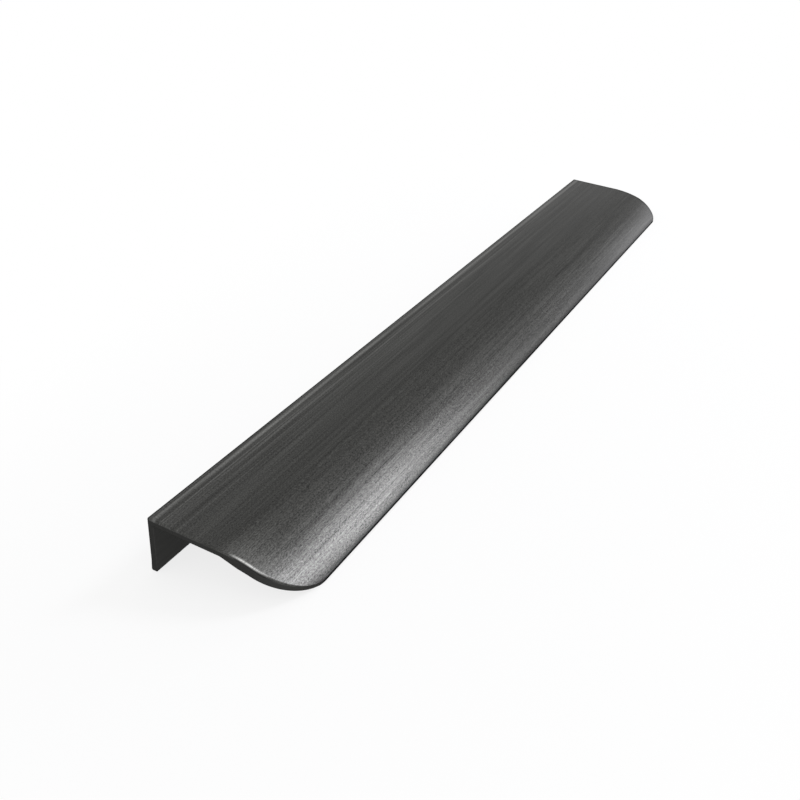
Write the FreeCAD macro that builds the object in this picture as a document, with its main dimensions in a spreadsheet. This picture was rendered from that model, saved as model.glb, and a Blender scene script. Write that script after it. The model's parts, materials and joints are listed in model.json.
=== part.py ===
import FreeCAD, Part
import os
from math import acos, asin, atan2, cos, hypot, pi, sin
import Sketcher
from FreeCAD import Vector

# Handleless finger pull, one length of extruded and anodised aluminium profile.
#
# The section has three parts: a short back leg that hangs down behind a drawer front or door, a flat
# plate that lies on the board's top edge, and a convex lip that droops in front of the board, for the
# fingers to hook under. The profile is extruded along X, then cut to length. Its two front corners are
# rounded in plan, and the leg is drilled and countersunk for screws.
#
# The section is drawn with its back top corner at the origin: +Y points out of the back of the leg,
# the lip lies towards -Y, and +Z is up when the pull is fitted. Left alone on a floor it rests like a
# tent, on the leg's inner bottom corner and on the lip's nose, and the body's Placement puts it there.

doc = FreeCAD.newDocument("finger_pull")

# Driving sizes in millimetres, and one angle in degrees.
DRIVING = {
    "profile_length": 300.0,         # cut length
    "profile_width": 43.5,           # from the back of the leg to the front of the nose
    "plate_thickness": 1.9,
    "flat_width": 20.5,              # how far the top runs flat before it begins to droop
    "lip_radius": 41.0,              # convex top of the lip
    "nose_radius": 0.4,              # rounded front edge of the lip
    "seat_width": 19.7,              # from the leg's inner face to the kink where the lip thickens
    "ramp_width": 4.9,               # from the kink to the knuckle, where the lip is thickest
    "ramp_drop": 1.4,                # how far the knuckle lies under the seat
    "grip_radius": 77.0,             # hollow underside, from the knuckle to the nose
    "leg_height": 16.5,
    "leg_thickness": 1.9,
    "leg_corner_radius": 0.4,        # both bottom corners of the leg
    "back_corner_radius": 0.5,       # outer corner between leg and plate
    "root_radius": 0.4,              # inner corner between leg and plate
    "plan_radius": 12.8,             # front corners seen from above
    "screw_hole_diameter": 4.0,      # clearance for a 3.5 mm wood screw
    "countersink_diameter": 7.0,     # on the back of the leg
    "countersink_angle": 90.0,
    "screw_height": 6.6,             # hole centre above the leg's bottom edge
    "screw_pitch": 80.0,             # between neighbouring holes, four in a row
    "cut_margin": 2.0,               # how far a cut reaches past the stock
}
SCREWS = 4

# Worked out from the driving sizes. The nose circle lies inside the lip's arc and touches it. The resting
# angle is that of the line that touches the leg's inner bottom corner and the nose from below.
DERIVED = {
    "nose_reach": "=profile_width - nose_radius",
    "nose_drop": "=lip_radius - sqrt(pow(lip_radius - nose_radius; 2) - pow(nose_reach - flat_width; 2))",
    "foot_reach": "=leg_thickness - leg_corner_radius",
    "foot_drop": "=leg_height - leg_corner_radius",
    "foot_to_nose": "=sqrt(pow(nose_reach - foot_reach; 2) + pow(foot_drop - nose_drop; 2))",
    "rest_angle": "=atan((foot_drop - nose_drop) / (nose_reach - foot_reach))"
                  " - asin((nose_radius - leg_corner_radius) / foot_to_nose)",
    "rest_height": "=foot_reach * sin(rest_angle) + foot_drop * cos(rest_angle) + leg_corner_radius",
    "rest_back": "=foot_drop * sin(rest_angle) + leg_corner_radius * (1 - cos(rest_angle))",
    "rest_front": "=nose_drop * sin(rest_angle) - nose_reach * cos(rest_angle) - nose_radius",
}

sheet = doc.addObject("Spreadsheet::Sheet", "Sizes")
for row, (name, value) in enumerate(DRIVING.items(), start=1):
    sheet.set("A%d" % row, name)
    sheet.set("B%d" % row, str(value))
    sheet.setAlias("B%d" % row, name)
doc.recompute()
for row, (name, formula) in enumerate(DERIVED.items(), start=len(DRIVING) + 1):
    sheet.set("A%d" % row, name)
    sheet.set("B%d" % row, formula)
    sheet.setAlias("B%d" % row, name)
doc.recompute()


def size(name):
    """The value of one cell of the sheet, as a plain number."""
    return float(getattr(sheet, name))


body = doc.addObject("PartDesign::Body", "FingerPull")
body.Label = "finger_pull_profile"


def plane(role):
    """One of the body's own origin planes."""
    return [f for f in body.Origin.OriginFeatures if f.Role == role][0]


def new_sketch(name, role):
    sketch = body.newObject("Sketcher::SketchObject", name)
    sketch.AttachmentSupport = [(plane(role), "")]
    sketch.MapMode = "FlatFace"
    return sketch


def bind(sketch, constraint, name, expression):
    """Adds a named constraint whose value follows the sheet."""
    index = sketch.addConstraint(constraint)
    sketch.renameConstraint(index, name)
    sketch.setExpression("Constraints." + name, expression)


def add_arc(sketch, x, y, radius, start, end):
    circle = Part.Circle(Vector(x, y, 0), Vector(0, 0, 1), radius)
    return sketch.addGeometry(Part.ArcOfCircle(circle, start, end))


def add_line(sketch, x0, y0, x1, y1):
    return sketch.addGeometry(Part.LineSegment(Vector(x0, y0, 0), Vector(x1, y1, 0)))


# How a sketch numbers the points of an element, and its own two axes.
START, END, CENTRE = range(1, 4)
Y_AXIS, X_AXIS = range(-2, 0)
ORIGIN = (X_AXIS, START)

# The section, drawn in the YZ plane: sketch x is Y, sketch y is Z, and the lip lies towards -x.
section = new_sketch("Section", "YZ_Plane")
flat = size("flat_width")
lip = size("lip_radius")
nose = size("nose_radius")
reach = size("nose_reach")
drop = size("nose_drop")
leg = size("leg_thickness")
foot = size("leg_corner_radius")
deep = size("leg_height")
thick = size("plate_thickness")
back = size("back_corner_radius")
root = size("root_radius")
kink = leg + size("seat_width")
knuckle = kink + size("ramp_width")
knuckle_drop = thick + size("ramp_drop")
grip = size("grip_radius")

# The lip's arc ends where the nose circle begins. The underside's arc runs from the knuckle to the far
# side of the nose circle, so its centre is one radius from the knuckle and a nose radius more from the
# centre of the nose.
lip_end = pi / 2 + asin((reach - flat) / (lip - nose))
chord = hypot(reach - knuckle, drop - knuckle_drop)
chord_angle = atan2(drop - knuckle_drop, reach - knuckle)
at_knuckle = acos((grip ** 2 + chord ** 2 - (grip + nose) ** 2) / (2 * grip * chord))
grip_start = pi + chord_angle + at_knuckle
grip_x = -knuckle + grip * cos(grip_start)
grip_y = -knuckle_drop + grip * sin(grip_start)
nose_end = atan2(grip_y + drop, grip_x + reach) + 2 * pi

top = add_line(section, -back, 0, -flat, 0)
lip_arc = add_arc(section, -flat, -lip, lip, pi / 2, lip_end)
nose_arc = add_arc(section, -reach, -drop, nose, lip_end, nose_end)
grip_arc = add_arc(section, grip_x, grip_y, grip, grip_start - pi, nose_end - pi)
ramp = add_line(section, -knuckle, -knuckle_drop, -kink, -thick)
seat = add_line(section, -kink, -thick, -leg - root, -thick)
root_arc = add_arc(section, -leg - root, -thick - root, root, 0, pi / 2)
inner = add_line(section, -leg, -thick - root, -leg, -deep + foot)
foot_in = add_arc(section, -leg + foot, -deep + foot, foot, pi, 3 * pi / 2)
bottom = add_line(section, -leg + foot, -deep, -foot, -deep)
foot_out = add_arc(section, -foot, -deep + foot, foot, 3 * pi / 2, 2 * pi)
rear = add_line(section, 0, -deep + foot, 0, -back)
back_arc = add_arc(section, -back, -back, back, 0, pi / 2)

SMOOTH = [
    (top, END, lip_arc, START),
    (lip_arc, END, nose_arc, START),
    (nose_arc, END, grip_arc, END),
    (seat, END, root_arc, END),
    (root_arc, START, inner, START),
    (inner, END, foot_in, START),
    (foot_in, END, bottom, START),
    (bottom, END, foot_out, START),
    (foot_out, END, rear, START),
    (rear, END, back_arc, START),
    (back_arc, END, top, START),
]
for joint in SMOOTH:
    section.addConstraint(Sketcher.Constraint("Tangent", *joint))
section.addConstraint(Sketcher.Constraint("Coincident", grip_arc, START, ramp, START))
section.addConstraint(Sketcher.Constraint("Coincident", ramp, END, seat, START))
for level in (top, seat, bottom):
    section.addConstraint(Sketcher.Constraint("Horizontal", level))
for upright in (inner, rear):
    section.addConstraint(Sketcher.Constraint("Vertical", upright))
section.addConstraint(Sketcher.Constraint("PointOnObject", top, START, X_AXIS))
section.addConstraint(Sketcher.Constraint("PointOnObject", rear, START, Y_AXIS))
section.addConstraint(Sketcher.Constraint("Equal", foot_in, foot_out))

bind(section, Sketcher.Constraint("Radius", lip_arc, lip), "lip_radius", "Sizes.lip_radius")
bind(section, Sketcher.Constraint("Radius", nose_arc, nose), "nose_radius", "Sizes.nose_radius")
bind(section, Sketcher.Constraint("Radius", grip_arc, grip), "grip_radius", "Sizes.grip_radius")
bind(section, Sketcher.Constraint("Radius", root_arc, root), "root_radius", "Sizes.root_radius")
bind(section, Sketcher.Constraint("Radius", back_arc, back), "back_radius", "Sizes.back_corner_radius")
bind(section, Sketcher.Constraint("Radius", foot_in, foot), "foot_radius", "Sizes.leg_corner_radius")


def across(sketch, geometry, point, value, name, expression):
    """How far a point lies in front of the back face."""
    bind(sketch, Sketcher.Constraint("DistanceX", geometry, point, *ORIGIN, value), name, expression)


def below(sketch, geometry, point, value, name, expression):
    """How far a point lies under the top face."""
    bind(sketch, Sketcher.Constraint("DistanceY", geometry, point, *ORIGIN, value), name, expression)


across(section, top, END, flat, "flat_width", "Sizes.flat_width")
across(section, nose_arc, CENTRE, reach, "nose_reach", "Sizes.nose_reach")
across(section, seat, START, kink, "kink", "Sizes.leg_thickness + Sizes.seat_width")
across(
    section,
    ramp,
    START,
    knuckle,
    "knuckle",
    "Sizes.leg_thickness + Sizes.seat_width + Sizes.ramp_width",
)
across(section, inner, START, leg, "leg_thickness", "Sizes.leg_thickness")
below(section, seat, START, thick, "plate_thickness", "Sizes.plate_thickness")
below(section, ramp, START, knuckle_drop, "knuckle_drop", "Sizes.plate_thickness + Sizes.ramp_drop")
below(section, bottom, START, deep, "leg_height", "Sizes.leg_height")
doc.recompute()

# The extrusion, cut to length with its middle at X = 0.
profile = body.newObject("PartDesign::Pad", "Profile")
profile.Profile = section
profile.SideType = "Symmetric"
profile.setExpression("Length", "Sizes.profile_length")
section.Visibility = False
doc.recompute()

# One front corner, rounded in plan from the end to the front of the nose, and its mirror image.
corner = new_sketch("Corner", "XY_Plane")
half = size("profile_length") / 2
front = size("profile_width")
plan = size("plan_radius")
margin = size("cut_margin")
turn = add_arc(corner, half - plan, plan - front, plan, -pi / 2, 0)
out_1 = add_line(corner, half, plan - front, half + margin, plan - front)
out_2 = add_line(corner, half + margin, plan - front, half + margin, -front - margin)
out_3 = add_line(corner, half + margin, -front - margin, half - plan, -front - margin)
out_4 = add_line(corner, half - plan, -front - margin, half - plan, -front)
for joint in [
    (turn, END, out_1, START),
    (out_1, END, out_2, START),
    (out_2, END, out_3, START),
    (out_3, END, out_4, START),
    (out_4, END, turn, START),
]:
    corner.addConstraint(Sketcher.Constraint("Coincident", *joint))
for level in (out_1, out_3):
    corner.addConstraint(Sketcher.Constraint("Horizontal", level))
for upright in (out_2, out_4):
    corner.addConstraint(Sketcher.Constraint("Vertical", upright))
corner.addConstraint(Sketcher.Constraint("Vertical", turn, CENTRE, turn, START))
corner.addConstraint(Sketcher.Constraint("Horizontal", turn, CENTRE, turn, END))
bind(corner, Sketcher.Constraint("Radius", turn, plan), "plan_radius", "Sizes.plan_radius")
bind(
    corner,
    Sketcher.Constraint("DistanceX", *ORIGIN, turn, END, half),
    "half_length",
    "Sizes.profile_length / 2",
)
below(corner, turn, START, front, "front", "Sizes.profile_width")
bind(corner, Sketcher.Constraint("DistanceX", out_1, START, out_1, END, margin), "past_end", "Sizes.cut_margin")
bind(corner, Sketcher.Constraint("DistanceY", out_4, START, out_4, END, margin), "past_front", "Sizes.cut_margin")
doc.recompute()

corner_cut = body.newObject("PartDesign::Pocket", "CornerCut")
corner_cut.Profile = corner
corner_cut.SideType = "Symmetric"
corner_cut.setExpression("Length", "2 * Sizes.leg_height")
doc.recompute()
both_corners = body.newObject("PartDesign::Mirrored", "BothCorners")
both_corners.Originals = [corner_cut]
both_corners.MirrorPlane = (plane("YZ_Plane"), [""])
body.Tip = both_corners
doc.recompute()

# Screw holes through the leg, countersunk from its back. The first stands near one end, and the row is
# centred on the length.
points = new_sketch("ScrewPoints", "XZ_Plane")
pitch = size("screw_pitch")
first = -(SCREWS - 1) * pitch / 2
rise = size("screw_height") - deep
hole_circle = points.addGeometry(
    Part.Circle(Vector(first, rise, 0), Vector(0, 0, 1), size("screw_hole_diameter") / 2)
)
bind(
    points,
    Sketcher.Constraint("DistanceX", hole_circle, CENTRE, *ORIGIN, -first),
    "first_screw",
    "Sizes.screw_pitch * %g" % ((SCREWS - 1) / 2),
)
below(points, hole_circle, CENTRE, -rise, "screw_drop", "Sizes.leg_height - Sizes.screw_height")
bind(
    points,
    Sketcher.Constraint("Diameter", hole_circle, size("screw_hole_diameter")),
    "screw_hole",
    "Sizes.screw_hole_diameter",
)
doc.recompute()

screw = body.newObject("PartDesign::Hole", "Screw")
screw.Profile = points
doc.recompute()
screw.ThreadType = "None"
screw.DepthType = "Dimension"
screw.DrillPoint = "Flat"
screw.setExpression("Depth", "Sizes.leg_thickness + Sizes.cut_margin")
screw.setExpression("Diameter", "Sizes.screw_hole_diameter")
screw.HoleCutType = "Countersink"
screw.HoleCutCustomValues = True
screw.setExpression("HoleCutDiameter", "Sizes.countersink_diameter")
screw.setExpression("HoleCutCountersinkAngle", "Sizes.countersink_angle")
screw.Reversed = True
doc.recompute()
row_of_screws = body.newObject("PartDesign::LinearPattern", "RowOfScrews")
row_of_screws.Originals = [screw]
row_of_screws.Direction = (points, ["H_Axis"])
row_of_screws.Occurrences = SCREWS
row_of_screws.setExpression("Length", "Sizes.screw_pitch * %d" % (SCREWS - 1))
body.Tip = row_of_screws
doc.recompute()

# As it lies on a floor: turned about X until both rests touch, then moved so that the middle of its
# outline is over the origin and its lowest line is at Z = 0.
body.setExpression(".Placement.Rotation.Axis.x", "1")
body.setExpression(".Placement.Rotation.Axis.y", "0")
body.setExpression(".Placement.Rotation.Axis.z", "0")
body.setExpression(".Placement.Rotation.Angle", "Sizes.rest_angle")
body.setExpression(".Placement.Base.y", "-(Sizes.rest_back + Sizes.rest_front) / 2")
body.setExpression(".Placement.Base.z", "Sizes.rest_height")
doc.recompute()

for item in doc.Objects:
    if "Invalid" in item.State or "Error" in item.State:
        raise RuntimeError("%s failed: %s" % (item.Name, item.State))
steps = (profile, corner_cut, both_corners, screw, row_of_screws)
for earlier, later in zip(steps, steps[1:]):
    if not later.Shape.Volume < earlier.Shape.Volume:
        raise RuntimeError("%s cuts nothing" % later.Name)
if body.Shape.isNull() or not body.Shape.isValid() or len(body.Shape.Solids) != 1:
    raise RuntimeError("the profile is not one valid solid")

os.makedirs("parts", exist_ok=True)
body.Shape.exportStep("parts/%s.step" % body.Label)
print("volume %.1f mm3, resting at %.2f degrees" % (body.Shape.Volume, size("rest_angle")))
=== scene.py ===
# %% [markdown]
# # A finger pull for the edge of a drawer front
#
# The real thing is one length of extruded aluminium. A short leg is screwed to the back of a board, a
# flat plate lies on the board's top edge, and the plate runs on into a curved lip that the fingers reach
# under. Its two front corners are rounded, and the whole piece is brushed lengthwise and anodised
# graphite.
#
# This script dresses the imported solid. It starts by loading that solid as a frame, so every size here is
# in the same place as in the CAD: X along the pull, Z up, and the lip towards -Y.

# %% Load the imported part
import json
import math

import bmesh
import bpy
import numpy as np
from mathutils import Matrix, Vector


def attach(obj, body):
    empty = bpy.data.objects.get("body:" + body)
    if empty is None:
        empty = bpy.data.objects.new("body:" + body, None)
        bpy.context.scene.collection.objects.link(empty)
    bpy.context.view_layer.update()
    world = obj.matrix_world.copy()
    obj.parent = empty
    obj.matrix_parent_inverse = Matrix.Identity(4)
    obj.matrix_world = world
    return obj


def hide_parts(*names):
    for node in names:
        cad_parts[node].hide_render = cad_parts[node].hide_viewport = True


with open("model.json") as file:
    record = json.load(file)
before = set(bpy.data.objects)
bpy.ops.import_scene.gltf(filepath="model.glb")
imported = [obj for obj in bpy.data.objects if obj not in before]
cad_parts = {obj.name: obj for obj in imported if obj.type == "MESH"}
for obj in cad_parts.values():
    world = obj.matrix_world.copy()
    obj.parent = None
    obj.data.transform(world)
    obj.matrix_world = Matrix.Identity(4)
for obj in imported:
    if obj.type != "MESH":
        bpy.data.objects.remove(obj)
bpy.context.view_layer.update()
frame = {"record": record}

# %% [markdown]
# ## Sizes
#
# The sizes are the solid's own, in millimetres, and the leg and the plate share one wall. Forward
# distance is counted from the back face to the lip, and depth from the plate's top. Two sizes are for the
# eye alone: how wide the sawn edges are broken, above and elsewhere.

# %% Sizes of the section
LENGTH = 300.0
WIDTH = 43.5                # from the back face to the nose
WALL = 1.9                  # of the leg and of the plate
LEG_HEIGHT = 16.5
FLAT_WIDTH = 20.5           # the level part of the top
LIP_RADIUS = 41.0           # the droop in front of it
NOSE_RADIUS = 0.4
SEAT_END = 21.6             # the kink, in front of the board
RAMP_END = 26.5             # the knuckle
RAMP_DROP = 1.4             # how much deeper the knuckle lies than the seat
GRIP_RADIUS = 77.0          # the hollow between knuckle and nose
FOOT_RADIUS = 0.4           # both edges of the leg's foot
ROOT_RADIUS = 0.4           # where leg and plate meet inside
BACK_RADIUS = 0.5           # where they meet outside
PLAN_RADIUS = 12.8          # the two front corners, seen from above
INNER_BREAK = 0.15
OUTER_BREAK = 0.5
ROOT = WALL + ROOT_RADIUS   # how far the inside round's centre is from the back and the top
print("the board's edge has %.1f mm between leg and kink" % (SEAT_END - WALL))

# %% [markdown]
# ## The section's own frame
#
# An extrusion is drawn as a flat section, so it is easiest to shape it where the plate is level: the
# origin at the top back corner, y forward as a negative number, z up. Off its board the pull rests on the
# leg's foot and on the lip, tilted by some degrees. The record gives that tilt: it holds the face that
# sits on the board, with its direction and its middle, and these two are enough to go from the section's
# frame to the real place.

# %% From the section's frame to the floor
seat = next(m for m in frame["record"]["mounts"] if m["name"] == "board_seat")
seat_point = np.array([0.0, -(WALL + SEAT_END) / 2, -WALL])
tilt = math.atan2(seat["axis"][1], -seat["axis"][2])
turn = np.array(Matrix.Rotation(tilt, 3, "X"))
base = np.array(seat["pos_m"]) * 1000 - turn @ seat_point


def on_floor(points):
    """Section millimetres to metres on the floor: turned about X by the tilt, then moved by the base."""
    return (np.asarray(points) @ turn.T + base) / 1000


print("tilt %.3f degrees, back corner at %s mm" % (math.degrees(tilt), np.round(base, 3)))

# %% [markdown]
# ## The circles of the lip
#
# The lip's top is part of a large circle, its hollow underside part of a still larger one, and a small
# circle closes them at the nose. Their centres could be copied from the drawing. They are worked out from
# the sizes instead, by the rule that two circles touch where the distance of their centres is the sum or
# the difference of their radii, so a changed size keeps the outline smooth.

# %% Centres of the nose and of the grip
# The nose touches the lip's circle from inside, and its foremost point is the full width.
to_nose = LIP_RADIUS - NOSE_RADIUS
nose_y = NOSE_RADIUS - WIDTH
NOSE = np.array([nose_y, math.sqrt(to_nose ** 2 - (-nose_y - FLAT_WIDTH) ** 2) - LIP_RADIUS])

# The grip's circle goes through the knuckle and touches the nose from outside. So its centre is one
# radius from the knuckle and a nose radius more from the nose, and the law of cosines gives the angle at
# the knuckle.
KNUCKLE = np.array([-RAMP_END, -WALL - RAMP_DROP])
gap = KNUCKLE - NOSE
reach = math.hypot(*gap)
opposite = GRIP_RADIUS + NOSE_RADIUS
at_knuckle = math.acos((GRIP_RADIUS ** 2 + reach ** 2 - opposite ** 2) / (2 * GRIP_RADIUS * reach))
grip_way = math.pi + math.atan2(gap[1], gap[0]) + at_knuckle
GRIP = KNUCKLE + GRIP_RADIUS * np.array([math.cos(grip_way), math.sin(grip_way)])
print("nose centre", np.round(NOSE, 4), "grip centre", np.round(GRIP, 4))

# %% [markdown]
# ## The section as two sides
#
# A bent strip has an outer side and an inner side. Each is a chain of straight runs and arcs from the
# middle of the foot, up the leg, round the corner, along the plate and down the lip to the tip of the
# nose. Both chains get the same number of points, so that point k of one side lies across the metal from
# point k of the other. That pairing closes the cut ends later on.

# %% Runs and arcs


def run(a, b, steps):
    """Points on a straight run: a plus a growing share of the way from a to b, leaving out b itself."""
    share = np.arange(steps)[:, None] / steps
    return np.array(a) + share * (np.array(b) - np.array(a))


def arc(centre, radius, start, end, steps):
    """Points on an arc: the centre plus the radius times cosine and sine of an angle from start to end."""
    angle = start + (end - start) * np.arange(steps) / steps
    return np.array(centre) + radius * np.c_[np.cos(angle), np.sin(angle)]


print("a quarter arc in three steps", np.round(arc((0, 0), 1, 0, math.pi / 2, 3), 3).tolist())

# %% Height of the top and of the underside


def lip_top(y):
    """Height of the top: level over the flat, then a circle of the lip's radius falling away from it."""
    past = np.clip(-y - FLAT_WIDTH, 0, None)
    return np.sqrt(LIP_RADIUS ** 2 - past ** 2) - LIP_RADIUS


def underside(y):
    """Height of the underside: level at the seat, a ramp to the knuckle, then the hollow's circle."""
    ramp = -WALL - (-y - SEAT_END) * RAMP_DROP / (RAMP_END - SEAT_END)
    grip = GRIP[1] + np.sqrt(GRIP_RADIUS ** 2 - (y - GRIP[0]) ** 2)
    return np.where(-y < SEAT_END, -WALL, np.where(-y < RAMP_END, ramp, grip))


for front in (10, RAMP_END, 35):
    thick = lip_top(-front) - underside(np.array(-front))
    print("at %.1f mm forward the metal is %.2f mm thick" % (front, thick))

# %% Places across the plate and the lip
SOFT = 0.2            # half of the width over which the kink and the knuckle are softened
LIP_POINTS = 31       # from the knuckle to the nose
top_leave = math.atan2(NOSE[1] + LIP_RADIUS, NOSE[0] + FLAT_WIDTH)
grip_leave = math.atan2(NOSE[1] - GRIP[1], NOSE[0] - GRIP[0]) + math.pi
lip_start = -RAMP_END - SOFT
top_end = NOSE[0] + NOSE_RADIUS * math.cos(top_leave)
grip_end = NOSE[0] + NOSE_RADIUS * math.cos(grip_leave)
seat_stops = [ROOT, 6, 10, 14, 18, FLAT_WIDTH, SEAT_END - SOFT, SEAT_END + SOFT]
plate_y = -np.array([*seat_stops, 24, RAMP_END - SOFT, RAMP_END + SOFT])
outer_y = np.r_[plate_y, np.linspace(lip_start, top_end, LIP_POINTS)[1:-1]]
inner_y = np.r_[plate_y, np.linspace(lip_start, grip_end, LIP_POINTS)[1:-1]]
print("places across", len(outer_y), "from", outer_y[0], "to %.3f mm" % outer_y[-1])

# %% The two chains
FOOT_STEPS = 6
LEG_STEPS = 5
BACK_STEPS = 8
BESIDE_STEPS = 2      # on the short runs on both sides of the back corner
ROOT_STEPS = BACK_STEPS + 2 * BESIDE_STEPS
NOSE_STEPS = 10
outer = np.vstack([
    run((-WALL / 2, -LEG_HEIGHT), (-FOOT_RADIUS, -LEG_HEIGHT), 2),
    arc((-FOOT_RADIUS, FOOT_RADIUS - LEG_HEIGHT), FOOT_RADIUS, -math.pi / 2, 0, FOOT_STEPS),
    run((0, FOOT_RADIUS - LEG_HEIGHT), (0, -ROOT), LEG_STEPS),
    run((0, -ROOT), (0, -BACK_RADIUS), BESIDE_STEPS),
    arc((-BACK_RADIUS, -BACK_RADIUS), BACK_RADIUS, 0, math.pi / 2, BACK_STEPS),
    run((-BACK_RADIUS, 0), (-ROOT, 0), BESIDE_STEPS),
    np.c_[outer_y, lip_top(outer_y)],
    arc(NOSE, NOSE_RADIUS, top_leave, math.pi, NOSE_STEPS),
    [[-WIDTH, NOSE[1]]],
])
inner = np.vstack([
    run((-WALL / 2, -LEG_HEIGHT), (FOOT_RADIUS - WALL, -LEG_HEIGHT), 2),
    arc((FOOT_RADIUS - WALL, FOOT_RADIUS - LEG_HEIGHT), FOOT_RADIUS, -math.pi / 2, -math.pi, FOOT_STEPS),
    run((-WALL, FOOT_RADIUS - LEG_HEIGHT), (-WALL, -ROOT), LEG_STEPS),
    arc((-ROOT, -ROOT), ROOT_RADIUS, 0, math.pi / 2, ROOT_STEPS),
    np.c_[inner_y, underside(inner_y)],
    arc(NOSE, NOSE_RADIUS, grip_leave, math.pi, NOSE_STEPS),
    [[-WIDTH, NOSE[1]]],
])
loop = np.vstack([outer, inner[-2:0:-1]])
TOP_FIRST = int(np.flatnonzero(outer[:, 1] == 0)[0])
TOP_LAST = TOP_FIRST + BESIDE_STEPS + len(outer_y)
print("points on a side", len(outer), len(inner), "and round the section", len(loop))
print("the brushed top runs from point", TOP_FIRST, "to", TOP_LAST)

# %% [markdown]
# ## Where the metal stops
#
# Most of each end is sawn square. Towards the lip the end follows a quarter circle seen from above, which
# meets the front edge without a corner. The edge between that end and the brushed faces is broken with a
# fine abrasive, so it is a quarter round, half a millimetre wide above and less below, and it catches the
# light in the photograph. A Bevel modifier could round it with one width. Here the width changes along
# the edge, so the round is worked out.

# %% The end surface


def end_setback(y):
    """How far the end lies inside the full length: none, then the quarter circle of the plan corner."""
    past = np.clip((-y - (WIDTH - PLAN_RADIUS)) / PLAN_RADIUS, 0, 1)
    return PLAN_RADIUS * (1 - np.sqrt(1 - past ** 2)), past


print("the end at the nose lies %.1f mm inside" % end_setback(np.array(-WIDTH))[0])

# %% Directions and places on the section


def outward(points):
    """Directions square to a closed chain: the unit steps beside a point, added and turned right."""
    step = np.roll(points, -1, axis=0) - points
    step /= np.linalg.norm(step, axis=1)[:, None]
    along_chain = step + np.roll(step, 1, axis=0)
    square = np.c_[along_chain[:, 1], -along_chain[:, 0]]
    return square / np.linalg.norm(square, axis=1)[:, None]


def on_section(points):
    """The nearest place of the section to each point, among a hundred places on each step of the chain."""
    share = np.linspace(0, 1, 100, endpoint=False)[:, None, None]
    fine = (loop + share * (np.roll(loop, -1, axis=0) - loop)).reshape(-1, 2)
    far = ((points[:, None] - fine[None]) ** 2).sum(-1)
    return fine[far.argmin(axis=1)]


print("on the plate, outward is", np.round(outward(loop)[TOP_FIRST + BESIDE_STEPS], 3))

# %% The broken edge
FOOT_FADE = 1.5       # the break is narrow at the foot and reaches its full width this far above it
NOSE_FADE = 5.0       # it narrows again over this distance
NOSE_CLEAR = 1.0      # and is narrow from this distance before the nose
EDGE_STEPS = 5


def broken_edge(steps):
    """
    The rounded edge at the +X end, as rows of points round the section.

    The side has the direction n and the end the direction e. The round leaves each of them where a ball
    of the deburring radius would touch it: at the edge plus the radius times (n (n.e) - e) / (1 + n.e),
    and the same with n and e changed over. Those two places are moved onto the section and onto the end
    surface, and the curve between them is the weighted mean of both and the edge that draws a circle.
    """
    setback, past = end_setback(loop[:, 0])
    wide = np.zeros((len(loop), 1))
    above_foot = np.clip((outer[:, 1] + LEG_HEIGHT) / FOOT_FADE, 0, 1)
    before_nose = np.clip((WIDTH - NOSE_CLEAR + outer[:, 0]) / NOSE_FADE, 0, 1)
    wide[:len(outer), 0] = above_foot * before_nose
    radius = INNER_BREAK + (OUTER_BREAK - INNER_BREAK) * wide
    edge = np.c_[LENGTH / 2 - setback, loop]
    n = np.c_[np.zeros(len(loop)), outward(loop)]
    e = np.c_[np.sqrt(1 - past ** 2), -past, np.zeros(len(loop))]
    cos = (n * e).sum(1)[:, None]
    leave = edge + radius * (n * cos - e) / (1 + cos)
    leave[:, 1:] = on_section(leave[:, 1:])
    meet = edge + radius * (e * cos - n) / (1 + cos)
    meet[:, 0] = LENGTH / 2 - end_setback(meet[:, 1])[0]
    t = np.linspace(0, 1, steps + 1)[:, None, None]
    weights = (1 - t) ** 2, 2 * t * (1 - t) * np.sqrt((1 + cos) / 2), t ** 2
    return (weights[0] * leave + weights[1] * edge + weights[2] * meet) / sum(weights)


rolled = broken_edge(EDGE_STEPS)
print("edge rows", rolled.shape, "furthest point", np.round(rolled[..., 0].max(), 3))

# %% [markdown]
# ## One closed skin
#
# The side surface is a grid with two parameters: way round the section, and way along the length. Its
# first and last rows are the broken edges, and between them each point of the section runs straight along
# X. The rows stand close near the ends, where the painted light changes fast, and far apart between. Each
# end is a second grid, from the outer side to the inner side across the metal, laid on the end surface.

# %% The side grid
# Distances from the broken edge, where rows stand close.
CLOSE_ROWS = np.array([0.12, 0.25, 0.4, 0.6, 0.9, 1.3, 1.8, 2.6, 4.0, 6.5, 10.0])
ALONG = 56            # even steps between the close rows
ring = len(loop)
mirror = np.array([-1.0, 1.0, 1.0])
inward = CLOSE_ROWS[:, None, None] * np.array([1.0, 0, 0])
near_rows, far_rows = rolled[0] * mirror + inward, rolled[0] - inward[::-1]
share = np.linspace(0, 1, ALONG + 1)[1:-1, None, None]
middle_rows = near_rows[-1] + share * (far_rows[0] - near_rows[-1])
rows = np.concatenate([rolled[::-1] * mirror, near_rows, middle_rows, far_rows, rolled])
index = np.arange(rows.shape[0] * ring).reshape(-1, ring)
onward = np.roll(index, -1, axis=1)
skin = np.stack([index[:-1], onward[:-1], onward[1:], index[1:]], axis=-1).reshape(-1, 4)
print("side grid", index.shape, "with", len(skin), "faces")

# %% The two end grids
ACROSS = 4            # steps from the outer side to the inner side
side = len(outer) - 1


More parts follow.
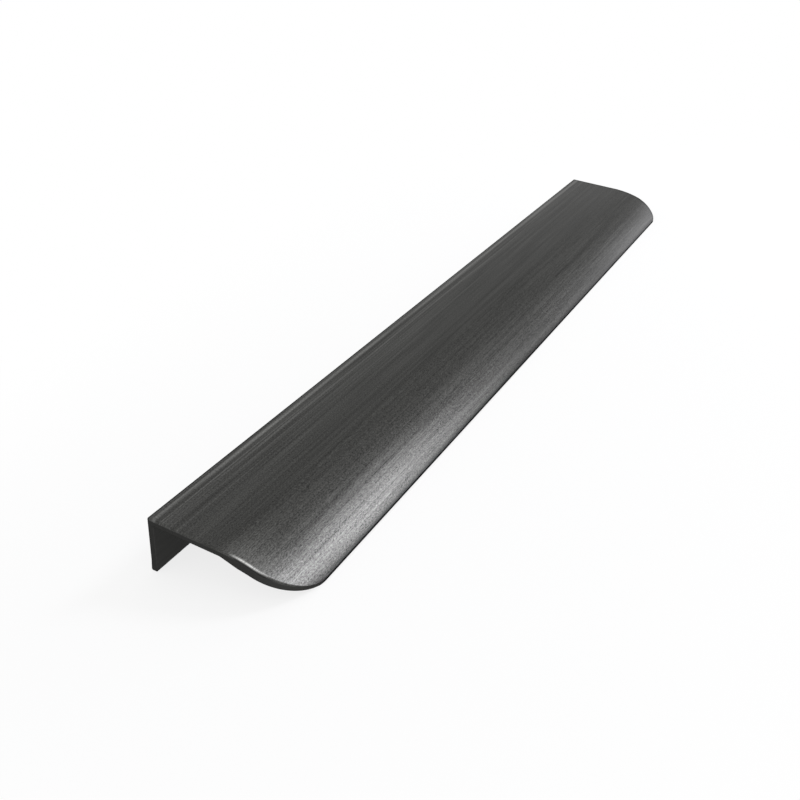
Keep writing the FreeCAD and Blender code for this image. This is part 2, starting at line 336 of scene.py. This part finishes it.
def end_cap(row, start, sign):
    """
    A grid over the cut end: each inner point is a share of the way from a point of the outer side to its
    partner on the inner side, and its x lies on the end surface. The new points are numbered from start.
    Returns them, the quads and the triangles at the foot and the tip.
    """
    near = row[1:side]
    far = row[:side:-1]
    part = np.linspace(0, 1, ACROSS + 1)[1:-1, None, None]
    inside = near + part * (far - near)
    inside[..., 0] = sign * (LENGTH / 2 - end_setback(inside[..., 1])[0])
    grid = np.empty((ACROSS + 1, side - 1), int)
    corner = (0 if sign < 0 else rows.shape[0] - 1) * ring
    grid[0] = corner + np.arange(1, side)
    grid[-1] = corner + np.arange(ring - 1, side, -1)
    grid[1:-1] = start + np.arange((ACROSS - 1) * (side - 1)).reshape(ACROSS - 1, side - 1)
    quads = np.stack([grid[:-1, :-1], grid[1:, :-1], grid[1:, 1:], grid[:-1, 1:]], axis=-1).reshape(-1, 4)
    foot = np.stack([np.full(ACROSS, corner), grid[1:, 0], grid[:-1, 0]], axis=-1)
    tip = np.stack([np.full(ACROSS, corner + side), grid[:-1, -1], grid[1:, -1]], axis=-1)
    threes = np.vstack([foot, tip])
    if sign > 0:
        quads, threes = quads[:, ::-1], threes[:, ::-1]
    return inside.reshape(-1, 3), quads, threes


blocks = [rows.reshape(-1, 3)]
cut_faces = []
for sign, row in ((-1, rows[0]), (1, rows[-1])):
    more, quads, threes = end_cap(row, sum(len(block) for block in blocks), sign)
    blocks.append(more)
    cut_faces += quads.tolist() + threes.tolist()
section_points = np.vstack(blocks)
print("skin has", len(section_points), "points and", len(skin) + len(cut_faces), "faces")

# %% [markdown]
# ## Painted highlight and painted shade on the brushed top
#
# Anodising is a layer some hundredths of a millimetre thick, and the dye sits in it. The brushed top also
# carries painted light: a painted highlight as a bright line on the upper edge of the near end, a faint
# painted glow behind it, and painted shade as dark lines along the far end, in front, under that line and
# on the near front corner. Painting an image would show them too, but those places follow the piece's
# edges, so they are kept on the mesh as three numbers a point, and the material reads them. Each mark is a
# fade by the distance from the end, a fade by the distance forward, or the product of both.

# %% Tables of the painted light
# Each row is a distance in millimetres and a share. Between the rows the share changes evenly.
# Painted glow: a paler colour near the near end's lip, fading along the length.
PAINTED_GLOW_BY_END = ((0, 0.7), (1.4, 0.62), (5, 0.43), (8, 0.28), (14, 0.12), (45, 0.06), (75, 0))
PAINTED_GLOW_BY_FRONT = ((20, 0), (27, 1), (33, 1), (38, 0.45), (42, 0.2))
# Painted highlight: a near-white line half a millimetre in from the near end's upper edge.
ARRIS_HIGHLIGHT_BY_END = ((0.15, 0), (0.45, 1), (0.55, 1), (1.0, 0))
ARRIS_HIGHLIGHT_BY_FRONT = ((24.5, 0), (27.0, 1), (30.0, 1), (35.0, 0))
# Painted shade: under the highlight line, at the far end's edge, in front of the lip and on the near front
# corner.
SHADE_UNDER_HIGHLIGHT_BY_END = ((0.1, 0.8), (0.3, 0))
SHADE_UNDER_HIGHLIGHT_BY_FRONT = ((23, 0), (26, 1), (34, 1), (38, 0.2))
FAR_END_SHADE_BY_END = ((0.3, 0.85), (2.2, 0))
FRONT_SHADE_LINE = ((38.5, 0), (40.0, 0.07), (42.5, 0.05), (43.0, 0.8))
CORNER_SHADE_BY_FRONT = ((40.8, 0), (42.6, 0.6))
CORNER_SHADE_BY_LENGTH = ((9, 1), (16, 0))


def fade(distance, table):
    """The share that a table gives at each distance: a straight line from row to row, level beyond them."""
    places, levels = zip(*table)
    return np.interp(distance, places, levels)


print("the glow at 10 mm from the end is %.2f" % fade(10, PAINTED_GLOW_BY_END))

# %% The painted light at each point


def painted_light(points):
    """
    Three shares of painted light for each point. The painted glow fades over 75 mm from the near end's lip.
    The painted highlight line peaks half a millimetre from its edge. The painted shade is the strongest of
    four: under the highlight line, two millimetres at the far end, a line in front of the lip, and the near
    front corner.
    """
    x, front = points[:, 0], -points[:, 1]
    from_tip = LENGTH / 2 - np.abs(x)
    from_end = from_tip - end_setback(points[:, 1])[0]
    near = x < 0
    painted_glow = near * fade(from_end, PAINTED_GLOW_BY_END) * fade(front, PAINTED_GLOW_BY_FRONT)
    arris_highlight = near * fade(from_end, ARRIS_HIGHLIGHT_BY_END) * fade(front, ARRIS_HIGHLIGHT_BY_FRONT)
    # Painted shade under the painted highlight line.
    below = near * fade(from_end, SHADE_UNDER_HIGHLIGHT_BY_END) * fade(front, SHADE_UNDER_HIGHLIGHT_BY_FRONT)
    far_end_shade = ~near * fade(from_end, FAR_END_SHADE_BY_END)
    # Painted shade on the near front corner.
    corner = near * fade(front, CORNER_SHADE_BY_FRONT) * fade(from_tip, CORNER_SHADE_BY_LENGTH)
    return np.c_[painted_glow, arris_highlight, np.max([below, far_end_shade, fade(front, FRONT_SHADE_LINE), corner], axis=0)]


painted_light_shares = painted_light(section_points)
print("most glow, rubbed and dark", painted_light_shares.max(axis=0))

# %% [markdown]
# ## The mesh and its four finishes
#
# The arrays become one mesh. The belt reached only the top, so each face carries the number of its
# finish: brushed on top, matt as extruded below and behind, cut at the ends, and painted shade, a darker
# tone, on the back corner and the nose. The number follows from the face's place round the section,
# because the faces lie in rows.

# %% From arrays to a mesh
WELD = 1e-6           # points nearer than a thousandth of a millimetre are one


def mesh_piece(name, points, faces, finish):
    """A mesh object from an array of points and a list of faces, with the number of each face's material."""
    mesh = bpy.data.meshes.new(name)
    mesh.from_pydata(points, [], faces)
    mesh.polygons.foreach_set("material_index", finish)
    mesh.shade_smooth()
    mesh.update()
    made = bpy.data.objects.new(name, mesh)
    bpy.context.scene.collection.objects.link(made)
    return made


def weld_and_measure(mesh):
    """Joins points that are one, as where the end runs into the nose, and prints volume and open edges."""
    work = bmesh.new()
    work.from_mesh(mesh)
    bmesh.ops.remove_doubles(work, verts=work.verts, dist=WELD)
    bmesh.ops.dissolve_degenerate(work, edges=work.edges, dist=WELD)
    volume = work.calc_volume(signed=True) * 1e9
    open_edges = sum(not e.is_manifold for e in work.edges)
    print("%s: volume %.1f cubic mm, open edges %d" % (mesh.name, volume, open_edges))
    work.to_mesh(mesh)
    work.free()


print("points within %.3f mm are joined" % (WELD * 1000))

# %% The pull's mesh
BRUSHED, CUT, EXTRUDED, PAINTED_SHADE_ROUNDS = 0, 1, 2, 3
step_finish = np.full(ring, EXTRUDED)
step_finish[TOP_FIRST:TOP_LAST] = BRUSHED
# The back corner's round and the nose get painted shade, a darker copy of the matt finish.
step_finish[TOP_FIRST - BACK_STEPS:TOP_FIRST] = PAINTED_SHADE_ROUNDS
step_finish[TOP_LAST:TOP_LAST + 2 * NOSE_STEPS] = PAINTED_SHADE_ROUNDS
edge_finish = np.tile(np.where(step_finish == EXTRUDED, CUT, step_finish), EDGE_STEPS)
side_finish = np.tile(step_finish, rows.shape[0] - 1 - 2 * EDGE_STEPS)
finish = np.r_[edge_finish, side_finish, edge_finish, np.full(len(cut_faces), CUT)]
pull = mesh_piece("finger_pull", on_floor(section_points), skin.tolist() + cut_faces, finish)
kept_painted_light = pull.data.attributes.new("painted_light", "FLOAT_VECTOR", "POINT")
kept_painted_light.data.foreach_set("vector", painted_light_shares.astype(np.float32).ravel())
weld_and_measure(pull.data)

# %% [markdown]
# ## Four screw holes
#
# The leg is drilled and countersunk from behind for four small countersunk screws. On a real pull that is
# done after sawing, and here too: a turned cutter, which is a profile carried round the hole's axis, is
# taken away from the finished skin. Each rim has a narrow break, as a drill leaves it. Holes could also
# be left open in the grid, but a hole that is cut keeps the faces beside it flat.

# %% The turned cutter
SCREWS = (-120.0, -40.0, 40.0, 120.0)
SCREW_HEIGHT = -9.9
TURN = 72             # points round the hole

# Radius and depth, from a pole clear of the back: the broken rim, the countersink, the hole, the far rim.
CUTTER = np.array([
    [0, 0.6], [4.3, 0.6],
    [3.6, 0.0], [3.42, -0.08],
    [2.0, -1.5], [2.0, -1.84],
    [2.36, -2.2], [0, -2.2],
])


def cutter_points(x):
    """Each profile point carried round: x and z from the radius and the angle, y the depth, and two poles."""
    angle = np.linspace(0, 2 * math.pi, TURN, endpoint=False)
    radius, depth = CUTTER[1:-1, 0, None], CUTTER[1:-1, 1, None]
    across, up = x + radius * np.cos(angle), SCREW_HEIGHT + radius * np.sin(angle)
    wall = np.stack([across, depth + 0 * angle, up], axis=-1)
    poles = [[x, CUTTER[0, 1], SCREW_HEIGHT], [x, CUTTER[-1, 1], SCREW_HEIGHT]]
    return np.vstack([wall.reshape(-1, 3), poles])


cutter_at = on_floor(np.vstack([cutter_points(x) for x in SCREWS]))
print("cutters have", len(cutter_at), "points")

# %% Faces of the cutters
circles = len(CUTTER) - 2
each = circles * TURN + 2
round_index = np.arange(circles * TURN).reshape(circles, TURN)
round_next = np.roll(round_index, -1, axis=1)
wall = [round_index[:-1], round_next[:-1], round_next[1:], round_index[1:]]
wall = np.stack(wall, axis=-1).reshape(-1, 4).tolist()
lid = np.stack([np.full(TURN, each - 2), round_next[0], round_index[0]], axis=-1).tolist()
bottom = np.stack([np.full(TURN, each - 1), round_index[-1], round_next[-1]], axis=-1).tolist()
cutter_faces = [[point + k * each for point in f] for k in range(len(SCREWS)) for f in wall + lid + bottom]
cutter = mesh_piece("countersink_cutter", cutter_at, cutter_faces, np.full(len(cutter_faces), CUT))
bpy.context.view_layer.update()
print("cutters have", len(cutter_faces), "faces")

# %% [markdown]
# ## Finishes
#
# Colours are written as sRGB hex, as an eye-dropper gives them, and one function turns them to the linear
# numbers that a shader works with. One more function adds a node, sets it and links it, so a material
# reads as a list of what happens to the surface.

# %% Colour and node helpers
MIX_A, MIX_B = 6, 7   # the two colour sockets of a Mix node, which go by number


def colour(hex_code):
    """sRGB hex to linear: each channel over 255, then the sRGB curve undone. Alpha is 1."""
    parts = [int(hex_code[k:k + 2], 16) / 255 for k in (1, 3, 5)]
    return (*[c / 12.92 if c <= 0.04045 else ((c + 0.055) / 1.055) ** 2.4 for c in parts], 1.0)


def add(tree, kind, inputs=(), **settings):
    """
    Adds one node. Settings are its properties. Inputs gives each socket a value, or the output to link,
    or the node whose first live output is linked.
    """
    made = tree.nodes.new(kind)
    for key, value in settings.items():
        setattr(made, key, value)
    for key, value in dict(inputs).items():
        if isinstance(value, bpy.types.Node):
            value = next(out for out in value.outputs if out.enabled)
        if isinstance(value, bpy.types.NodeSocket):
            tree.links.new(value, made.inputs[key])
        else:
            made.inputs[key].default_value = value
    return made


def cells(long_mm, wide_mm):
    """Mapping scale of a pattern whose marks are so many millimetres long and wide: a thousand over each."""
    return 1000 / long_mm, 1000 / wide_mm, 1000 / wide_mm


def empty_material(name):
    """A material with an empty node tree."""
    made = bpy.data.materials.new(name)
    made.use_nodes = True
    made.node_tree.nodes.clear()
    return made


print("graphite in linear numbers", [round(c, 4) for c in colour("#444443")])

# %% [markdown]
# ### Brushed graphite anodised aluminium
#
# The extruded faces are brushed along their length with a fine abrasive belt and then anodised and dyed.
# The dye makes the metal dark, and the grooves that the belt left still shape its gloss: seen along the
# grooves it stays dull, and across them a lamp is drawn out into a soft band over the lip. So the
# material is a metal with a dark base colour, and anisotropy turned a quarter so that the gloss spreads
# across the grain.
#
# The real grooves are some hundredths of a millimetre apart, finer than a pixel here, so the pattern is
# drawn about ten times as coarse, in three layers: specks of half a millimetre where a grain of the
# abrasive caught, scratches of some 30 mm, and the broad streaks that a belt leaves. All three get more
# contrast towards the lip, where the lamp's band lies: real grain with a painted sparkle of that band.

# %% Brushed finish: three layers of marks
# Length and width of each layer's marks in millimetres, and the roughness of its noise.
SPECKS = (0.6, 0.2, 0.7)
SCRATCHES = (30, 0.24, 0.6)
STREAKS = (83, 1.4, 0.6)
brushed = empty_material("brushed_graphite_anodised_aluminium")
tree = brushed.node_tree
place = add(tree, "ShaderNodeTexCoord").outputs["Object"]
back = tuple(-(turn.T @ base) / 1000)
section = add(tree, "ShaderNodeMapping", {"Vector": place, "Location": back, "Rotation": (-tilt, 0, 0)})
layers = []
for long_mm, wide_mm, roughness in (SPECKS, SCRATCHES, STREAKS):
    laid = add(tree, "ShaderNodeMapping", {"Vector": section, "Scale": cells(long_mm, wide_mm)})
    noise = {"Vector": laid, "Scale": 1.0, "Detail": 2.0, "Roughness": roughness}
    layers.append(add(tree, "ShaderNodeTexNoise", noise))
speck, hair, streak = layers
print("marks of", SPECKS[:2], SCRATCHES[:2], "and", STREAKS[:2], "mm")

# %% Brushed finish: one grain, stronger over the lip
HAIR_WEIGHT = 0.33        # how much a scratch counts, where a speck counts one
STREAK_WEIGHT = 0.2
apart = add(tree, "ShaderNodeSeparateXYZ", {"Vector": section})
forward = add(tree, "ShaderNodeMapRange", {"Value": apart.outputs["Y"], "From Max": -WIDTH / 1000})
level_hair = add(tree, "ShaderNodeMath", {0: hair, 1: 0.5}, operation="SUBTRACT")
fibre_parts = {0: level_hair, 1: HAIR_WEIGHT, 2: speck}
fibres = add(tree, "ShaderNodeMath", fibre_parts, operation="MULTIPLY_ADD")
marks = add(tree, "ShaderNodeMath", {0: streak, 1: STREAK_WEIGHT, 2: fibres}, operation="MULTIPLY_ADD")
# The sum of the layers lies between these two, and becomes a number around zero.
around_zero = {"From Min": 0.325, "From Max": 0.875, "To Min": -0.5, "To Max": 0.5}
centred = add(tree, "ShaderNodeMapRange", {"Value": marks, **around_zero})
# The share of the width over which the grain gains contrast, a painted sparkle of the lamp's band on the lip,
# and how strong the grain is.
sparkle_range = {"From Min": 0.5, "From Max": 0.8, "To Min": 1.05, "To Max": 1.3}
lip_sparkle_contrast = add(tree, "ShaderNodeMapRange", {"Value": forward, **sparkle_range})
grain = add(tree, "ShaderNodeMath", {0: centred, 1: lip_sparkle_contrast, 2: 0.5}, operation="MULTIPLY_ADD")
print("the grain is %.2f times as strong over the lip" % (sparkle_range["To Max"] / sparkle_range["To Min"]))

# %% [markdown]
# ### The die lines
#
# The die of the extrusion leaves faint lines that run the whole length at fixed distances from the back
# face, and brushing doesn't take them away. A grain pattern would put such lines anywhere, so each has
# its own stop in a colour ramp across the width. The wide ones are painted paler towards the far end, a
# painted sheen for the lower view there, and the fine ones fainter, so there are two ramps. Under them
# the plate is a little paler towards its back.

# %% Brushed finish: die lines
# The distance of each line from the back face and its half width, in millimetres, and its strength.
WIDE_LINES = ((0.9, 0.25, 0.2), (1.95, 0.8, 0.9), (5.0, 0.25, 0.25))
FINE_LINES = (
    (3.9, 0.2, 0.5), (4.65, 0.2, 0.55), (5.7, 0.15, 0.2), (6.9, 0.15, 0.45), (8.3, 0.15, 0.12),
    (9.2, 0.15, 0.15), (10.45, 0.15, 0.35),
)
ramps = []
for die_lines in (WIDE_LINES, FINE_LINES):
    ramp = add(tree, "ShaderNodeValToRGB", {"Fac": forward})
    ramp.color_ramp.elements[1].color = (0, 0, 0, 1)
    for middle, half, strength in die_lines:
        for at, level in ((middle - half, 0), (middle, strength), (middle + half, 0)):
            ramp.color_ramp.elements.new(at / WIDTH).color = (level, level, level, 1)
    ramps.append(ramp)
from_near = {"Value": apart.outputs["X"], "From Min": -LENGTH / 2000, "From Max": LENGTH / 2000}
# Painted sheen: the wide die lines grow paler towards the far end.
painted_far_sheen = add(tree, "ShaderNodeMapRange", {**from_near, "To Min": 0.9, "To Max": 2.0})
fainter = add(tree, "ShaderNodeMapRange", {**from_near, "To Min": 1.0, "To Max": 0.3})
paler = {"From Min": 0.1, "From Max": 0.5, "To Min": 0.17, "To Max": 0.06}
worn = add(tree, "ShaderNodeMapRange", {"Value": forward, **paler})
wide_lines = add(tree, "ShaderNodeMath", {0: ramps[0], 1: painted_far_sheen, 2: worn}, operation="MULTIPLY_ADD")
lines = add(tree, "ShaderNodeMath", {0: ramps[1], 1: fainter, 2: wide_lines}, operation="MULTIPLY_ADD")
print("die lines", len(WIDE_LINES) + len(FINE_LINES))

# %% [markdown]
# ### Colour and gloss of the brushed top
#
# The grain chooses between a dark tone, in the grooves, and a light one on the ridges. Both turn paler on
# the die lines and in the painted glow. A near-white painted highlight with a ragged edge lies along the
# near end's upper edge, and the painted shade covers everything.

# %% Brushed finish: colours
kept = add(tree, "ShaderNodeAttribute", attribute_name="painted_light")
# Three shares of painted light: a painted glow, a painted highlight line and painted shade.
painted_glow, arris_highlight, dark = add(tree, "ShaderNodeSeparateXYZ", {"Vector": kept.outputs["Vector"]}).outputs
patchy = {"From Min": 0.3, "From Max": 0.7, "To Min": 0.5, "To Max": 1.5}
uneven = add(tree, "ShaderNodeMapRange", {"Value": streak, **patchy})
# The painted glow is added here, so the groove, ridge and dyed tones below carry it too.
pale = add(tree, "ShaderNodeMath", {0: lines, 1: uneven, 2: painted_glow}, operation="MULTIPLY_ADD")
groove_tones = {MIX_A: colour("#141414"), MIX_B: colour("#40403f")}
ridge_tones = {MIX_A: colour("#4f4f4d"), MIX_B: colour("#8a8a88")}
valley = add(tree, "ShaderNodeMix", {"Factor": pale, **groove_tones}, data_type="RGBA")
ridge = add(tree, "ShaderNodeMix", {"Factor": pale, **ridge_tones}, data_type="RGBA")
dyed = add(tree, "ShaderNodeMix", {"Factor": grain, MIX_A: valley, MIX_B: ridge}, data_type="RGBA")
# The painted highlight gets a ragged edge from the scratches.
broken = {"From Min": 0.35, "From Max": 0.5, "To Min": 0.45}
arris_highlight_ragged = add(tree, "ShaderNodeMapRange", {"Value": hair, **broken})
arris_highlight_share = add(tree, "ShaderNodeMath", {0: arris_highlight, 1: arris_highlight_ragged}, operation="MULTIPLY")
# The near-white colour of the painted highlight.
arris_highlight_tones = {MIX_A: dyed, MIX_B: colour("#d8d8d6")}
with_arris_highlight = add(tree, "ShaderNodeMix", {"Factor": arris_highlight_share, **arris_highlight_tones}, data_type="RGBA")
# Painted shade darkens the colour towards #161616.
painted_shade_tones = {MIX_A: with_arris_highlight, MIX_B: colour("#161616")}
paint = add(tree, "ShaderNodeMix", {"Factor": dark, **painted_shade_tones}, data_type="RGBA")
print("nodes up to the colour", len(tree.nodes))

# %% Brushed finish: gloss
GROOVE_DEPTH = 0.00004      # metres: four hundredths of a millimetre, coarser than real, as the grain is
rough = add(tree, "ShaderNodeMapRange", {"Value": speck, "To Min": 0.25, "To Max": 0.35})
groove = add(tree, "ShaderNodeBump", {"Height": fibres, "Strength": 0.4, "Distance": GROOVE_DEPTH})
along = add(tree, "ShaderNodeCombineXYZ", {"X": 1.0})
metal = add(tree, "ShaderNodeBsdfPrincipled", {
    "Base Color": paint,
    "Metallic": 1.0,
    "Roughness": rough,
    "Anisotropic": 0.35,
    "Anisotropic Rotation": 0.25,
    "Specular Tint": colour("#d2d2d2"),
    "Normal": groove,
    "Tangent": along,
})
add(tree, "ShaderNodeOutputMaterial", {"Surface": metal})
print(brushed.name, "has", len(tree.nodes), "nodes")

# %% [markdown]
# ### Matt graphite anodised aluminium
#
# The belt reaches only the top. The rest keeps a matt skin with the same dye, which scatters light more
# and looks dark beside the brushed top. There are three tones of it: the leg and the underside as they
# were extruded, the sawn ends and the holes a little darker, and the nose and the back corner darkest, as
# painted shade on those rounds. Extruding leaves fine lines along the length, so the pattern is stretched
# along X. They are drawn 0.4 mm wide, coarser than the real ones, so that they show.

# %% Matt finishes
LINE_DEPTH = 0.00003        # metres


def matt_finish(name, low, high):
    """A matt metal between two colours, with fine lines along X."""
    made = empty_material(name)
    tree = made.node_tree
    place = add(tree, "ShaderNodeTexCoord").outputs["Object"]
    stretched = add(tree, "ShaderNodeMapping", {"Vector": place, "Scale": cells(16, 0.38)})
    fine = add(tree, "ShaderNodeTexNoise", {"Vector": stretched, "Scale": 1.0, "Detail": 3.0})
    tones = {MIX_A: colour(low), MIX_B: colour(high)}
    paint = add(tree, "ShaderNodeMix", {"Factor": fine, **tones}, data_type="RGBA")
    rough = add(tree, "ShaderNodeMapRange", {"Value": fine, "To Min": 0.45, "To Max": 0.6})
    mark = add(tree, "ShaderNodeBump", {"Height": fine, "Strength": 0.2, "Distance": LINE_DEPTH})
    metal = add(tree, "ShaderNodeBsdfPrincipled", {
        "Base Color": paint,
        "Metallic": 1.0,
        "Roughness": rough,
        "Specular Tint": colour("#595959"),
        "Normal": mark,
    })
    add(tree, "ShaderNodeOutputMaterial", {"Surface": metal})
    print(name, "has", len(tree.nodes), "nodes")
    return made


cut = matt_finish("matt_graphite_anodised_cut_aluminium", "#3a3a39", "#494948")
drawn = matt_finish("matt_graphite_anodised_extruded_aluminium", "#424241", "#515150")
# Painted shade: a darker copy of the matt finish for the back corner's round and the nose.
rounded = matt_finish("matt_graphite_painted_shade_rounds", "#1c1c1c", "#282828")

# %% [markdown]
# ## Drilling and handing over
#
# The cutters are taken away from the pull with an exact Boolean, which keeps the faces' materials by
# number, so both carry the same list. The result becomes the pull's own mesh. Shading is smooth except
# where two faces meet at more than 38 degrees, and each normal is weighted by the area around it, so that
# flat faces look flat. The finished piece rides on the part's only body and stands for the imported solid.

# %% Drill, finish and hand over the piece
SHARP_ANGLE = math.radians(38)
for piece in (pull, cutter):
    for finish_used in (brushed, cut, drawn, rounded):
        piece.data.materials.append(finish_used)
drill = pull.modifiers.new("drill", "BOOLEAN")
drill.object = cutter
drill.operation = "DIFFERENCE"
drill.solver = "EXACT"
drill.material_mode = "INDEX"
drilled = bpy.data.meshes.new_from_object(pull.evaluated_get(bpy.context.evaluated_depsgraph_get()))
pull.modifiers.clear()
pull.data = drilled
pull.data.name = "finger_pull"
weld_and_measure(pull.data)
bpy.data.objects.remove(cutter)
pull.data.shade_smooth()
pull.data.set_sharp_from_angle(angle=SHARP_ANGLE)
even = pull.modifiers.new("even_shading", "WEIGHTED_NORMAL")
even.keep_sharp = True
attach(pull, "root")
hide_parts("finger_pull_profile")
print("drilled mesh", len(drilled.vertices), "points", len(drilled.polygons), "faces")

# %% [markdown]
# ## Floor and background
#
# The object is shown on white. The floor is a pale matt sheet that keeps the pull's soft shadow. Further
# out it turns to plain white for the camera and for reflections, so there is no horizon. How far out a
# place is, is its distance from a box about as large as the pull.

# %% Floor
FLOOR_HALF = 6.0                # metres from the middle to each side
PULL_HALF = (0.15, 0.02, 0.0)   # half of the box, in metres
PALE_UNTIL, WHITE_FROM = 0.03, 0.16         # metres beyond that box
CAMERA_FIRST, MIRROR_FIRST = 0.8, 0.7       # how white it is at the pull, for the camera and in its gloss
floor_mesh = bpy.data.meshes.new("floor")
corners = [(-FLOOR_HALF, -FLOOR_HALF, 0), (FLOOR_HALF, -FLOOR_HALF, 0)]
corners += [(FLOOR_HALF, FLOOR_HALF, 0), (-FLOOR_HALF, FLOOR_HALF, 0)]
floor_mesh.from_pydata(corners, [], [(0, 1, 2, 3)])
floor = bpy.data.objects.new("floor", floor_mesh)
bpy.context.scene.collection.objects.link(floor)
print("floor of %.0f m, white from %.0f mm beyond the pull" % (2 * FLOOR_HALF, WHITE_FROM * 1000))

# %% Floor finish
paper = empty_material("pale_matt_floor")
floor_mesh.materials.append(paper)
tree = paper.node_tree
place = add(tree, "ShaderNodeTexCoord").outputs["Object"]
from_middle = add(tree, "ShaderNodeVectorMath", {0: place}, operation="ABSOLUTE")
past_side = add(tree, "ShaderNodeVectorMath", {0: from_middle, 1: PULL_HALF}, operation="SUBTRACT")
outside = add(tree, "ShaderNodeVectorMath", {0: past_side, 1: (0.0, 0.0, 0.0)}, operation="MAXIMUM")
away = add(tree, "ShaderNodeVectorMath", {0: outside}, operation="LENGTH").outputs["Value"]
fading = {"Value": away, "From Min": PALE_UNTIL, "From Max": WHITE_FROM}
SMOOTH = {"interpolation_type": "SMOOTHSTEP"}
seen = add(tree, "ShaderNodeMapRange", {**fading, "To Min": CAMERA_FIRST}, **SMOOTH)
mirrored = add(tree, "ShaderNodeMapRange", {**fading, "To Min": MIRROR_FIRST}, **SMOOTH)
ray = add(tree, "ShaderNodeLightPath").outputs
mirror_rays = {0: ray["Is Glossy Ray"], 1: ray["Is Transmission Ray"]}
mirror_ray = add(tree, "ShaderNodeMath", mirror_rays, operation="MAXIMUM")
for_mirror = add(tree, "ShaderNodeMath", {0: mirror_ray, 1: mirrored}, operation="MULTIPLY")
for_camera = add(tree, "ShaderNodeMath", {0: seen, 1: ray["Is Camera Ray"]}, operation="MULTIPLY")
white_share = add(tree, "ShaderNodeMath", {0: for_mirror, 1: for_camera}, operation="MAXIMUM")
sheet = add(tree, "ShaderNodeBsdfDiffuse", {"Color": colour("#fafafa")})
white = add(tree, "ShaderNodeEmission", {"Color": (1, 1, 1, 1), "Strength": 1.0})
surface = add(tree, "ShaderNodeMixShader", {0: white_share, 1: sheet, 2: white})
add(tree, "ShaderNodeOutputMaterial", {"Surface": surface})
print(paper.name, "has", len(tree.nodes), "nodes")

# %% [markdown]
# ## World
#
# A photographer's white tent lights the piece from all round. A strength of 1 is white for the camera and
# for the metal's reflections, and the tent's light on matt surfaces is a quarter lower, so that the soft
# boxes have something to add.

# %% White world
TENT_LIGHT = 0.75
world = bpy.data.worlds.new("white_studio")
bpy.context.scene.world = world
world.use_nodes = True
tree = world.node_tree
tree.nodes.clear()
ray = add(tree, "ShaderNodeLightPath").outputs
first_rays = {0: ray["Is Camera Ray"], 1: ray["Is Glossy Ray"]}
direct = add(tree, "ShaderNodeMath", first_rays, operation="MAXIMUM")
shown = add(tree, "ShaderNodeMath", {0: direct, 1: ray["Is Transmission Ray"]}, operation="MAXIMUM")
strength = add(tree, "ShaderNodeMapRange", {"Value": shown, "To Min": TENT_LIGHT, "To Max": 1.0})
sky = add(tree, "ShaderNodeBackground", {"Color": (1, 1, 1, 1), "Strength": strength})
add(tree, "ShaderNodeOutputWorld", {"Surface": sky})
print(world.name, "lights matt surfaces at", TENT_LIGHT)

# %% [markdown]
# ## Lamps
#
# A brushed metal shows a lamp as a band, where the angle between lamp and grain equals the angle between
# eye and grain. The first soft box therefore stands beyond the far end, in front of the lip and well
# above it, and its band lies on the near part of the lip. It is taller than wide, because a tall lamp
# keeps that band narrow and lets it move forward along the pull, as in the photograph. A second one
# further out lights the far end.

# %% Soft boxes


def soft_box(name, at, aim, size, watts):
    """A rectangular area lamp that looks from one point to another, sizes and places in metres."""
    data = bpy.data.lights.new(name, "AREA")
    data.shape = "RECTANGLE"
    data.size, data.size_y = size
    data.energy = watts
    data.color = colour("#f9f9ff")[:3]
    lamp = bpy.data.objects.new(name, data)
    lamp.location = at
    lamp.rotation_euler = (Vector(aim) - Vector(at)).to_track_quat("-Z", "Y").to_euler()
    bpy.context.scene.collection.objects.link(lamp)
    radiance = watts / (math.pi * size[0] * size[1])
    print(name, "radiance about", round(radiance, 1))


soft_box("lip_soft_box", at=(0.70, -0.575, 0.705), aim=(-0.13, -0.02, 0.01), size=(0.28, 0.36), watts=5.5)
soft_box("far_soft_box", at=(1.52, -0.49, 0.354), aim=(0.14, -0.02, 0.01), size=(0.5, 0.4), watts=2.35)

# %% [markdown]
# ## Camera
#
# The camera was worked out from the pull's own edges in the photograph: where the long edges and the cut
# end run to gives the lens and the direction, and the known width gives the distance. A camera looks
# along its own -Z with Y up, so the three directions are the columns of its turn.

# %% Camera
EYE = Vector((-280.320, -138.855, 135.123)) / 1000
FORWARD = Vector((0.7570195, 0.4780210, -0.4454408))
RIGHT = Vector((0.4781708, -0.8699071, -0.1208897))
FOCAL_PIXELS = 951.06
PHOTO_PIXELS = 800
SENSOR_MM = 36
up = RIGHT.cross(FORWARD)
lens = bpy.data.cameras.new("photo_camera")
lens.sensor_width = SENSOR_MM
lens.lens = FOCAL_PIXELS * SENSOR_MM / PHOTO_PIXELS
lens.clip_start = 0.01
camera = bpy.data.objects.new("photo_camera", lens)
camera.matrix_world = Matrix.Translation(EYE) @ Matrix((RIGHT, up, -FORWARD)).transposed().to_4x4()
bpy.context.scene.collection.objects.link(camera)
bpy.context.scene.camera = camera
bpy.context.scene.view_settings.view_transform = "Standard"
print("lens %.2f mm" % lens.lens)

# %% [markdown]
# ## At the end
#
# The view layer is brought up to date.

# %% Update the view layer
bpy.context.view_layer.update()
